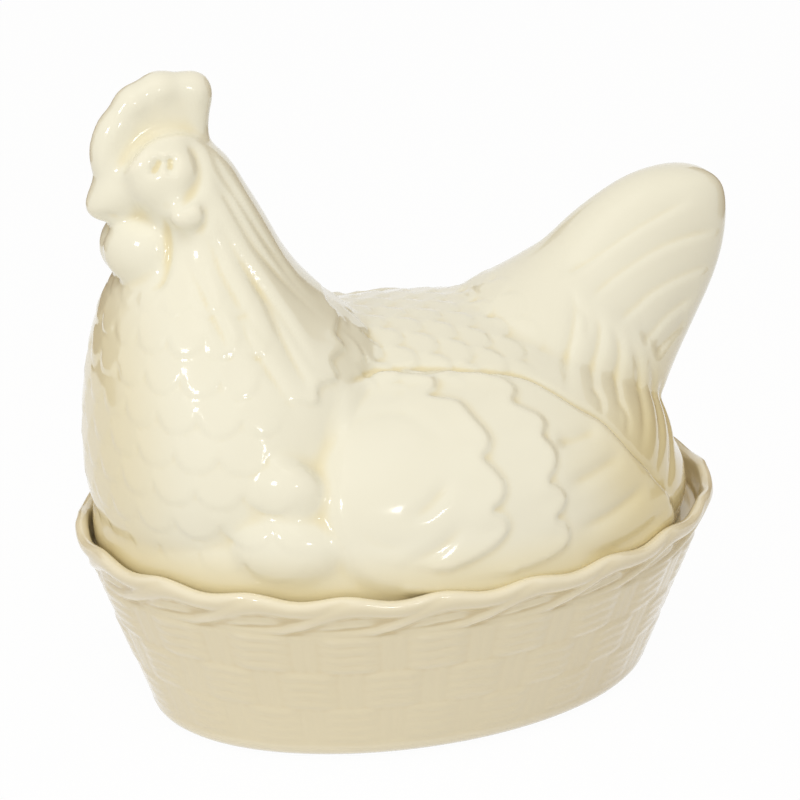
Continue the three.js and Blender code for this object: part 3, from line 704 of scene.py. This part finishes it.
# For every line round the dish, from the middle of the base up the outside and down the inside:
# half length, half width, height, place in the weave, place in the rope and share of the rim's wave.
# A place of -1 is outside the weave or the rope.
def dishLines():
    shape = dishShape
    foot, ledge, floor = shape["footHeight"], shape["ledgeHeight"], shape["floorHeight"]
    wallTop = shape["height"] - shape["rimDip"]
    ropeBottom = shape["height"] - shape["ropeHeight"]
    crownFoot = wallTop + shape["crownFoot"]
    crownEnd = crownFoot - shape["crownDrop"]
    footSize = np.array([shape["footLength"], shape["footWidth"]])
    standSize = np.array([shape["standLength"], shape["standWidth"]])
    rimSize = np.array([shape["length"], shape["width"]])
    floorSize = np.array([shape["floorLength"], shape["floorWidth"]])
    wallSize = rimSize - 2 * shape["reliefRoom"]
    innerSize = rimSize - 2 * shape["rimWall"]
    ledgeSize = innerSize - 2 * shape["rimLean"]
    bowlSize = ledgeSize - 2 * shape["ledgeWidth"]
    lines = []

    def addLine(size, height, weave=-1.0, rope=-1.0, wave=0.0):
        lines.append((size[0] / 2, size[1] / 2, height, weave, rope, wave))

    def wallAt(height):
        return footSize + (height - foot) / (wallTop - foot) * (wallSize - footSize)

    for t in (0.1, 0.5, 0.97):
        addLine(standSize * t, 0)
    for turn in np.linspace(0, tau / 4, shape["cornerLines"])[:-1]:
        addLine(standSize + math.sin(turn) * (footSize - standSize), foot * (1 - math.cos(turn)))
    for t in np.linspace(0, 1, shape["weaveLines"])[:-1]:
        height = foot + t * (ropeBottom - foot)
        addLine(wallAt(height), height, weave=1 - t)
    for t in np.linspace(0, 1, shape["ropeLines"]):
        height = ropeBottom + t * (crownFoot - ropeBottom)
        addLine(wallAt(height), height, rope=t, wave=t)
    outerSize = wallAt(crownFoot)
    for t in np.linspace(0, 1, shape["cornerLines"] + 1)[1:]:
        across = (1 - math.cos(t * math.pi)) / 2
        height = crownFoot + math.sin(t * math.pi) * shape["crownRise"] - across * shape["crownDrop"]
        addLine(outerSize + across * (innerSize - outerSize), height, rope=1.0, wave=1.0)
    for t in np.linspace(0, 1, shape["cornerLines"] + 1)[1:]:
        addLine(innerSize + t * (ledgeSize - innerSize), crownEnd + t * (ledge - crownEnd), wave=1 - t)
    for t in (0.3, 0.7, 1.0):
        addLine(ledgeSize + t * (bowlSize - ledgeSize), ledge)
    for inward, downward in smoothRows(shape["bowl"], shape["bowlSteps"])[1:]:
        addLine(bowlSize + inward * (floorSize - bowlSize), ledge + downward * (floor - ledge))
    for t in (0.6, 0.1):
        addLine(floorSize * t, floor)
    return np.array(lines)


# angles that divide the rim's outline evenly
def evenAngles(share):
    fine = np.linspace(0, tau, 20001)
    steps = np.hypot(np.diff(dishShape["length"] * np.cos(fine)), np.diff(dishShape["width"] * np.sin(fine)))
    lengths = np.concatenate([[0], np.cumsum(steps)])
    return np.interp(share * lengths[-1], lengths, fine)


def makeDish(material):
    shape = dishShape
    lines = dishLines()
    # a sheet of squares, one row for each line, that is bent round and moved into place
    bm = bmesh.new()
    bmesh.ops.create_grid(bm, x_segments=shape["columns"], y_segments=len(lines) - 1, size=0.5)
    mesh = meshOf(bm, "dish")
    flat = readPoints(mesh)
    row = np.rint((flat[:, 1] + 0.5) * (len(lines) - 1)).astype(int)
    share = (flat[:, 0] + 0.5) % 1.0
    angle = evenAngles(share)
    halfLength, halfWidth, height, weave, rope, wave = lines[row].T
    onWeave, onRope = weave >= 0, rope >= 0
    bulge = np.zeros(len(flat))
    bulge[onWeave] = weaveRelief(share[onWeave], weave[onWeave])
    bulge[onRope] = ropeRelief(share[onRope], rope[onRope])
    # the rope's relief fades out over the rim's rounding
    crown = np.nonzero(lines[:, 4] >= 1)[0]
    bulge = np.where(rope >= 1, bulge * np.clip(1 - (row - crown[0]) / (len(crown) - 1), 0, 1), bulge)
    dip = shape["rimDip"] * (0.5 + 0.5 * np.cos(tau * shape["lobes"] * share))
    out = np.stack([np.cos(angle) / shape["length"], np.sin(angle) / shape["width"]], 1)
    out /= np.linalg.norm(out, axis=1, keepdims=True)
    wallTop = shape["height"] - shape["rimDip"]
    back = shape["footBack"] * np.clip((wallTop - height) / (wallTop - shape["footHeight"]), 0, 1)
    writePoints(mesh, np.stack([np.cos(angle) * halfLength + out[:, 0] * bulge + back,
                                np.sin(angle) * halfWidth + out[:, 1] * bulge, height - dip * wave], 1))
    outside = mesh.attributes.new("outside", "FLOAT", "POINT")
    outside.data.foreach_set("value", (onWeave | onRope).astype(np.float32))
    # the sheet's two ends are sewn together, and the base and the floor closed
    bm = bmesh.new()
    bm.from_mesh(mesh)
    seam = [vert for vert in bm.verts if vert.is_boundary and abs(vert.co.y) < weld and vert.co.x > 0]
    bmesh.ops.remove_doubles(bm, verts=seam, dist=weld)
    bmesh.ops.holes_fill(bm, edges=[edge for edge in bm.edges if edge.is_boundary], sides=0)
    bmesh.ops.recalc_face_normals(bm, faces=bm.faces)
    say(f"dish closed, {triangles(bm)} triangles")
    bm.to_mesh(mesh)
    bm.free()
    # only the relief on the outside is softened
    outside = np.zeros(len(mesh.vertices), np.float32)
    mesh.attributes["outside"].data.foreach_get("value", outside)
    mesh.attributes.remove(mesh.attributes["outside"])
    writePoints(mesh, relaxed(mesh, readPoints(mesh), shape["smoothing"], 0.5 * outside[:, None]))
    writeRecess(mesh, shape["poolDepth"])
    finishPiece("dish", mesh, "dish", "nest_dish", material)


# one number or colour that travels between nodes, for sums written as sums
class Signal:
    def __init__(self, shade, socket):
        self.shade, self.socket = shade, socket

    def sum(self, operation, other, swap=False):
        values = [other, self] if swap else [self, other]
        made = self.shade.node("ShaderNodeMath", {"operation": operation}, dict(enumerate(values)))
        return made.out("Value")

    def __add__(self, other): return self.sum("ADD", other)
    def __radd__(self, other): return self.sum("ADD", other, True)
    def __sub__(self, other): return self.sum("SUBTRACT", other)
    def __rsub__(self, other): return self.sum("SUBTRACT", other, True)
    def __mul__(self, other): return self.sum("MULTIPLY", other)
    def __rmul__(self, other): return self.sum("MULTIPLY", other, True)


class Made:
    def __init__(self, shade, node):
        self.shade, self.node = shade, node

    def out(self, name):
        return Signal(self.shade, self.node.outputs[name])


class Shade:
    def __init__(self, owner):
        owner.use_nodes = True
        self.tree = owner.node_tree
        self.tree.nodes.clear()

    def node(self, kind, settings=None, sockets=None):
        node = self.tree.nodes.new(kind)
        for name, value in (settings or {}).items():
            setattr(node, name, value)
        for name, value in (sockets or {}).items():
            if isinstance(value, Signal):
                self.tree.links.new(value.socket, node.inputs[name])
            else:
                node.inputs[name].default_value = value
        return Made(self, node)

    # 0 below low, 1 above high
    def between(self, value, low, high):
        return self.node("ShaderNodeMapRange", {"interpolation_type": "SMOOTHSTEP"},
                         {"Value": value, "From Min": low, "From Max": high}).out("Result")

    # sockets by number, because a Mix node has several of each name
    def mix(self, factor, first, second):
        return self.node("ShaderNodeMix", {"data_type": "RGBA"}, {0: factor, 6: first, 7: second}).out(2)

    def noise(self, place, scale, detail):
        return self.node("ShaderNodeTexNoise", None,
                         {"Vector": place, "Scale": scale, "Detail": detail}).out("Fac")

    # 1 for what the camera sees, straight or in the glaze
    def seen(self):
        rays = self.node("ShaderNodeLightPath")
        return rays.out("Is Camera Ray") + rays.out("Is Glossy Ray") + rays.out("Is Transmission Ray")


# heights and lengths in the glazes are in metres
glazes = {
    "creamHen": {
        # pool colour: where the glaze pools thicker, and also the colour of the painted shade at the foot,
        # towards the tail and at the front
        "tint": (0.86, 0.84, 0.71, 1), "poolAndShade": (0.79, 0.68, 0.38, 1),
        "bareBelow": 0.0,  # no clay shows
        "footShadeTop": 0.077,  # painted warm shade, yellower from the skirt's foot up to here, where it meets the dish
        "paintedShade": 0.85,  # how strongly painted shade browns it towards the tail's foot and at the very front
    },
    "creamDish": {
        "tint": (0.81, 0.74, 0.55, 1), "poolAndShade": (0.69, 0.57, 0.34, 1),
        "bareBelow": 0.0012, "footShadeTop": -0.02, "paintedShade": 0.25,
    },
}
glazeFinish = {
    "cloudy": (0.985, 0.975, 0.945, 1), "worn": (0.92, 0.87, 0.72, 1), "clay": (0.72, 0.66, 0.54, 1),
    "cloudScale": 22, "cloudDetail": 3, "grainScale": 900, "grainDetail": 2,
    "pooled": (0.0, 0.9), "poolWander": 0.12, "pooling": 0.7,
    "wornEdges": (0.25, 1.0), "wear": 0.35,
    # how much painted warm shade covers the skirt's foot, and how softly it ends
    "glow": 0.75, "footShadeFade": 0.023, "clayFade": 0.0006,
    # where painted shade browns the glaze: towards the tail and towards the front, each up to a height
    "behind": (0.02, 0.08), "behindTop": (0.108, 0.146), "behindWander": 0.03,
    "before": (0.096, 0.122), "beforeTop": (0.16, 0.2), "beforeShare": 0.7,
    "roughness": 0.1, "cloudRoughness": 0.05, "clayRoughness": 0.6,
    "coat": 0.25, "coatRoughness": 0.03, "ior": 1.5,
    "bump": 0.05, "bumpDepth": 0.0004, "glazedGrain": 0.12,
}


def glaze(name):
    settings, finish = glazes[name], glazeFinish
    material = bpy.data.materials.new(name)
    shade = Shade(material)
    place = shade.node("ShaderNodeTexCoord").out("Object")
    split = shade.node("ShaderNodeSeparateXYZ", None, {"Vector": place})
    length, height = split.out("X"), split.out("Z")
    recess = shade.node("ShaderNodeAttribute", {"attribute_name": "recess"}).out("Fac")
    cloud = shade.noise(place, finish["cloudScale"], finish["cloudDetail"])
    grain = shade.noise(place, finish["grainScale"], finish["grainDetail"])
    bare = 1 - shade.between(height, settings["bareBelow"], settings["bareBelow"] + finish["clayFade"])
    tint, poolAndShade = settings["tint"], settings["poolAndShade"]

    colour = shade.mix(cloud, tint, [level * share for level, share in zip(tint, finish["cloudy"])])
    # yellower where the glaze pools in the low places, and painted warm shade at the skirt's foot
    pooled = shade.between(recess + finish["poolWander"] * (cloud - 0.5), *finish["pooled"])
    colour = shade.mix(pooled * finish["pooling"], colour, poolAndShade)
    overFoot = shade.between(height, settings["footShadeTop"], settings["footShadeTop"] + finish["footShadeFade"])
    colour = shade.mix(finish["glow"] - finish["glow"] * overFoot, colour, poolAndShade)
    # painted shade, browner towards the tail's foot and at the very front
    behind = (shade.between(length + finish["behindWander"] * (cloud - 0.5), *finish["behind"])
              * (1 - shade.between(height, *finish["behindTop"])))
    before = shade.between(0 - length, *finish["before"]) * (1 - shade.between(height, *finish["beforeTop"]))
    colour = shade.mix(settings["paintedShade"] * (behind + finish["beforeShare"] * before), colour, poolAndShade)
    # paler on the edges, and bare clay where it stands
    worn = shade.between(0 - recess, *finish["wornEdges"])
    colour = shade.mix(worn * finish["wear"], colour, finish["worn"])
    colour = shade.mix(bare, colour, finish["clay"])

    bump = shade.node("ShaderNodeBump", None, {
        "Strength": finish["bump"], "Distance": finish["bumpDepth"],
        "Height": grain * (bare + finish["glazedGrain"])})
    surface = shade.node("ShaderNodeBsdfPrincipled", None, {
        "Base Color": colour,
        "Roughness": finish["roughness"] + finish["cloudRoughness"] * cloud + bare * finish["clayRoughness"],
        "Coat Weight": finish["coat"] * (1 - bare),
        "Normal": bump.out("Normal"),
        "IOR": finish["ior"], "Coat Roughness": finish["coatRoughness"], "Coat IOR": finish["ior"]})
    shade.node("ShaderNodeOutputMaterial", None, {"Surface": surface.out("BSDF")})
    return material


creamHen = glaze("creamHen")
creamDish = glaze("creamDish")
makeHen(creamHen)
say("hen made")
makeDish(creamDish)
say("dish made")

# Floor, light and camera, in metres
studio = {
    "floorSize": 6.0,
    "paper": (0.9, 0.9, 0.9, 1),
    "floorGlow": 0.97,  # share of pure white that the camera sees in the floor
    "soft": (1, 0.93, 0.80, 1), "softStrength": 0.46,  # the light from all round
    "white": (1, 1, 1, 1),
    "aim": (0.0, 0.0, 0.12),
    "lamps": {
        # place, size, watts, whether the glaze mirrors it
        "windowLeft": ((-1.35, -1.05, 0.8), 0.24, 4, True),
        "skyTop": ((-0.55, -1.05, 2.1), 1.3, 23, False),
        "flash": ((-0.1, -1.9, 0.75), 0.16, 1.5, True),
    },
    "felt": (0.4, 0.28, 0.14, 1),
    "boards": {
        # place, width, height, turn in degrees
        "boardRight": ((0.71, 0.24, 0.3), 0.85, 0.8, -71),
        "boardLeft": ((-0.39, 0.64, 0.3), 0.85, 0.8, 31),
    },
    # fitted to the photograph: how far round, how high, how far off
    "camera": {"turn": -20, "rise": 21.2, "distance": 0.853, "target": (-0.0002, 0, 0.118),
               "lens": 100.49, "sensor": 36},
}


def makeFloor():
    bm = bmesh.new()
    bmesh.ops.create_grid(bm, x_segments=2, y_segments=2, size=studio["floorSize"] / 2)
    floor = addToScene("floor", meshOf(bm, "floor"))
    material = bpy.data.materials.new("floorPaper")
    shade = Shade(material)
    paper = shade.node("ShaderNodeBsdfDiffuse", None, {"Color": studio["paper"]}).out("BSDF")
    glow = shade.node("ShaderNodeEmission", None, {"Color": studio["white"], "Strength": 1}).out("Emission")
    both = shade.node("ShaderNodeMixShader", None, {0: shade.seen() * studio["floorGlow"], 1: paper, 2: glow})
    shade.node("ShaderNodeOutputMaterial", None, {"Surface": both.out("Shader")})
    floor.data.materials.append(material)


# tan boards beside and behind the picture, for the glaze to mirror at its edges
def makeBoards():
    material = bpy.data.materials.new("boardFelt")
    shade = Shade(material)
    felt = shade.node("ShaderNodeBsdfDiffuse", None, {"Color": studio["felt"]}).out("BSDF")
    shade.node("ShaderNodeOutputMaterial", None, {"Surface": felt})
    for name, (place, width, height, turn) in studio["boards"].items():
        bm = bmesh.new()
        matrix = (Matrix.Translation(place) @ Matrix.Rotation(math.radians(turn), 4, "Z")
                  @ Matrix.Rotation(tau / 4, 4, "X") @ Matrix.Diagonal((width, height, 1, 1)))
        bmesh.ops.create_grid(bm, x_segments=1, y_segments=1, size=0.5, matrix=matrix)
        board = addToScene(name, meshOf(bm, name))
        board.data.materials.append(material)
        board.visible_camera = board.visible_shadow = False


def makeLights():
    world = bpy.data.worlds.new("studio")
    bpy.context.scene.world = world
    shade = Shade(world)
    soft = shade.node("ShaderNodeBackground", None,
                      {"Color": studio["soft"], "Strength": studio["softStrength"]})
    white = shade.node("ShaderNodeBackground", None, {"Color": studio["white"], "Strength": 1})
    both = shade.node("ShaderNodeMixShader", None,
                      {0: shade.seen(), 1: soft.out("Background"), 2: white.out("Background")})
    shade.node("ShaderNodeOutputWorld", None, {"Surface": both.out("Shader")})
    for name, (place, size, watts, mirrored) in studio["lamps"].items():
        lamp = bpy.data.lights.new(name, "AREA")
        lamp.shape = "RECTANGLE"
        lamp.size, lamp.size_y, lamp.energy = size, size, watts
        holder = addToScene(name, lamp)
        holder.location = place
        holder.visible_glossy = mirrored
        holder.rotation_euler = (Vector(studio["aim"]) - Vector(place)).to_track_quat("-Z", "Y").to_euler()


# as the sizes are taken down, so is the camera's distance, and the picture stays the same
def makeCamera():
    settings = studio["camera"]
    turn, rise = math.radians(settings["turn"]), math.radians(settings["rise"])
    distance, target = settings["distance"] * fit, Vector(settings["target"]) * fit
    back = Vector((math.sin(turn) * math.cos(rise), -math.cos(turn) * math.cos(rise), math.sin(rise)))
    camera = bpy.data.cameras.new("camera")
    camera.sensor_width = settings["sensor"]
    camera.lens = settings["lens"]
    holder = addToScene("camera", camera)
    holder.location = target + back * distance
    holder.rotation_euler = back.to_track_quat("Z", "Y").to_euler()
    bpy.context.scene.camera = holder


makeFloor()
makeBoards()
makeLights()
makeCamera()
bpy.context.scene.view_settings.view_transform = "Standard"
say("stage set")
